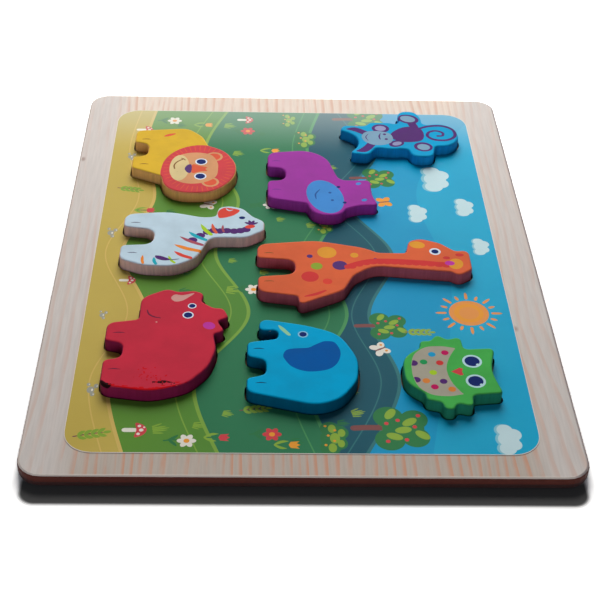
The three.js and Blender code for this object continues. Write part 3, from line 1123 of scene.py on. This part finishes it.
def landscape(low, high):
    """All prints of the sheet, from the sky at the bottom of the pile to the sun on top."""
    hills = hill_prints(low, high)
    near, far = low.y - OVERLAP, high.y + OVERLAP
    left, right, glow_right = low.x - OVERLAP, high.x + OVERLAP, high.x + 2 * OVERLAP
    sky = np.array([(left, near), (right, near), (right, far), (left, far)])
    glow = curve([(glow_right, far), (62, 58), (70, -28), (50, near)], closed=False)
    trees = ((22, -122, 0.95), (24, 126, 0.85), (30, 66, 0.7), (26, -56, 0.7))
    bushes = ((8, -128, 1.1), (4, -36, 0.9), (2, 104, 1.1), (10, 22, 0.9), (-6, 124, 0.9))
    clouds = ((72, 66, 1.2), (84, 40, 0.8), (82, -128, 0.9), (60, 34, 0.8), (88, 6, 0.7))
    flowers = (
        (-56, -130, "petal"), (-74, 122, "petal"), (-22, 40, "petal"), (-22, -126, "poppy_red"),
        (-34, 112, "poppy_red"), (-20, -62, "poppy_red"), (-30, -30, "petal"),
    )
    tulips = (
        (-40, -128, "poppy_red"), (-54, 118, "pollen"), (-12, -132, "pollen"), (-18, 92, "pollen"),
        (-80, 34, "poppy_red"),
    )
    mushrooms = ((-72, -124, 0.9), (-84, 112, 0.8), (-30, 124, 0.8), (-82, -24, 0.7))
    sprigs = (
        (-92, -128, 0.9, 12), (-90, 54, 0.8, -10), (-26, -112, 0.8, 8), (-12, 70, 0.8, -6),
        (46, -60, 0.8, 0),
    )
    butterflies = (
        (-2, 40, "poppy_red", 20), (-44, 40, "petal", -15), (44, 44, "pollen", 10),
        (34, -72, "petal", 30),
    )
    pebbles = ((-88, -100, 0.8), (-90, 14, 0.8), (-86, 84, 0.7), (-88, -50, 0.6))
    drawings = [
        [("sky", sky), ("sky_glow", np.concatenate([glow, [(glow_right, near)]]))],
        hills["far_hill"],
        *[stand(tree_motif(), *spot) for spot in trees],
        hills["mid_hill"],
        *[stand(bush_motif(), *spot) for spot in bushes],
        hills["near_hill"],
        grass_tufts(low, high),
        hills["sand"],
        *[stand(pebbles_motif(), *spot) for spot in pebbles],
        *[stand(mushroom_motif(), *spot) for spot in mushrooms],
        *[stand(flower_motif(ink), x, y) for x, y, ink in flowers],
        *[stand(tulip_motif(ink), x, y, 0.8) for x, y, ink in tulips],
        *[stand(sprig_motif(), *spot) for spot in sprigs],
        *[stand(cloud_motif(), *spot) for spot in clouds],
        *[stand(butterfly_motif(ink), x, y, 1.1, turn) for x, y, ink, turn in butterflies],
        stand(sun_motif(9), 76, -46),
    ]
    return [part for drawing in drawings for part in drawing]


PAPER_MARGIN = 0.3


def printed_sheet():
    """The printed paper sheet, cut out round each block."""
    low, high = (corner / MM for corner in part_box("scene_sheet"))
    outer, *holes = (rounder(loop) for loop in cad_loops("scene_sheet", high.z * MM))
    prints = landscape(low, high)
    picture = inset(outer, PAPER_MARGIN)
    spots, faces, on = printed_face(outer, holes, [picture], prints)
    on[~inside(spots[faces].mean(1), picture)] = -1
    count = len(spots)
    upper, lower = (np.column_stack([spots, np.full(count, z)]) for z in (high.z, low.z))
    inks = ["paper", *sorted({ink for ink, _ in prints})]
    numbers = [0 if n < 0 else inks.index(prints[n][0]) for n in on] + [0] * len(faces)
    walls = [[b, a, a + count, b + count] for rim in rims(faces) for a, b in zip(rim, np.roll(rim, -1))]
    numbers += [0] * len(walls)
    faces = [*faces.tolist(), *(faces[:, ::-1] + count).tolist(), *walls]
    materials = [scene_ink(ink, low.x, high.x) for ink in inks]
    points = [*upper, *lower]
    replaced = "scene_sheet"
    piece("printed_landscape", points, faces, numbers, materials, "board", replaced)


PAINTS = {name: paint(name) for name in COLOURS}
for animal in ANIMALS:
    printed_block(animal)
printed_sheet()

for node, finish in (("front_panel", veneer()), ("back_panel", back_board())):
    mesh = frame["nodes"][node].data
    mesh.materials.clear()
    mesh.materials.append(finish)
    smoothed(mesh)


# Stage, in metres
FLOOR_HALF = 6.0
FLOOR_DROP = 0.02 * MM
FLOOR_SHADED = (104 * MM, 153 * MM, 1.0)
WHITE = (1, 1, 1, 1)
BLACK = (0, 0, 0, 1)


def grey(level):
    return (level, level, level, 1)


def floor():
    """A pale floor that the camera sees as white, but for a painted shadow: a dark band below the board's
    near edge.
    """
    material, shader, place = new_material("white_floor")
    cloudy = ramp(noise(place, 3.0, 3.0), 0.3, 0.7, 0.0, 1.0)
    plain = mixed(cloudy, grey(0.88), grey(0.92))
    path = add(material.node_tree, "ShaderNodeLightPath").outputs
    away = vector_node("LENGTH", place)["Value"]
    glow = times(path["Is Camera Ray"], ramp(away, 0.205, 0.32))
    link(mixed(glow, BLACK, WHITE), shader.inputs["Emission Color"])
    shader.inputs["Emission Strength"].default_value = 1.0
    # Painted shadow: camera rays see the floor dark in a band before the board's near edge, added to the
    # lamp's shadow.
    before = ramp(axes_of(place)["Y"], -140 * MM, -148 * MM)
    painted_shadow_strip = ramp(past_box(place, FLOOR_SHADED), 7.8 * MM, 5.4 * MM)
    seen = mixed(times(painted_shadow_strip, before), grey(1.7), grey(0.1))
    link(mixed(path["Is Camera Ray"], plain, seen), shader.inputs["Base Color"])
    shader.inputs["Roughness"].default_value = 0.9
    shader.inputs["Specular IOR Level"].default_value = 0.1
    corners = [(x * FLOOR_HALF, y * FLOOR_HALF, 0) for x, y in ((-1, -1), (1, -1), (1, 1), (-1, 1))]
    mesh = bpy.data.meshes.new("floor")
    mesh.from_pydata(corners, [], [(0, 1, 2, 3)])
    mesh.materials.append(material)
    made = bpy.data.objects.new("floor", mesh)
    made.location.z = -FLOOR_DROP
    bpy.context.scene.collection.objects.link(made)


def world():
    """Light from low behind the board, and a white backdrop that only the camera sees."""
    made = bpy.data.worlds.new("studio")
    made.use_nodes = True
    tree = made.node_tree
    tree.nodes.clear()
    path = add(tree, "ShaderNodeLightPath").outputs
    seen = add(tree, "ShaderNodeBackground", {"Color": WHITE, "Strength": 1.0}).outputs[0]
    ahead = add(tree, "ShaderNodeTexCoord").outputs["Generated"]
    behind = ramp(axes_of(ahead)["Y"], 0.8, 0.97, 0.08, 0.9)
    glow = fed("ShaderNodeBackground", {"Color": (0.96, 0.98, 1, 1), "Strength": behind})[0]
    mix = fed("ShaderNodeMixShader", {0: path["Is Camera Ray"], 1: glow, 2: seen})
    add(tree, "ShaderNodeOutputWorld", {"Surface": mix[0]})
    bpy.context.scene.world = made


# Disk lamps that aim at the board's middle: place, size, power in watts and colour
LAMPS = {
    "back_key": ((0, 0.82, 0.62), 0.8, 17.2, (1, 0.98, 0.95)),
    "front_fill": ((-0.3, -1.5, 0.26), 0.8, 7.5, (0.84, 0.88, 1)),
}


def lamp(name):
    place, size, power, colour = LAMPS[name]
    light = bpy.data.lights.new(name, "AREA")
    light.shape = "DISK"
    light.size = size
    light.energy = power
    light.color = colour
    made = bpy.data.objects.new(name, light)
    made.location = place
    made.rotation_euler = (-Vector(place)).to_track_quat("-Z", "Y").to_euler()
    made.visible_glossy = False
    bpy.context.scene.collection.objects.link(made)


# The photograph's view: from the front, a little left of the middle, and turned a little
CAMERA_PLACE = Vector((-20.7, -516, 373.5)) * MM
CAMERA_VIEW = Vector((0.0344, 0.7923, -0.6091)).normalized()
CAMERA_RIGHT = Vector((0.9994, -0.0211, 0.0290))
SENSOR_WIDTH = 36
LENS = 79.93
NEAREST = 0.01


def camera():
    """The camera, with its right-hand axis made square to its view."""
    right = (CAMERA_RIGHT - CAMERA_RIGHT.dot(CAMERA_VIEW) * CAMERA_VIEW).normalized()
    turn = Matrix((right, right.cross(CAMERA_VIEW), -CAMERA_VIEW)).transposed().to_4x4()
    made = bpy.data.objects.new("camera", bpy.data.cameras.new("camera"))
    made.matrix_world = Matrix.Translation(CAMERA_PLACE) @ turn
    made.data.sensor_width = SENSOR_WIDTH
    made.data.lens = LENS
    made.data.clip_start = NEAREST
    bpy.context.scene.collection.objects.link(made)
    bpy.context.scene.camera = made


floor()
world()
for name in LAMPS:
    lamp(name)
camera()

bpy.context.scene.view_settings.view_transform = "Standard"
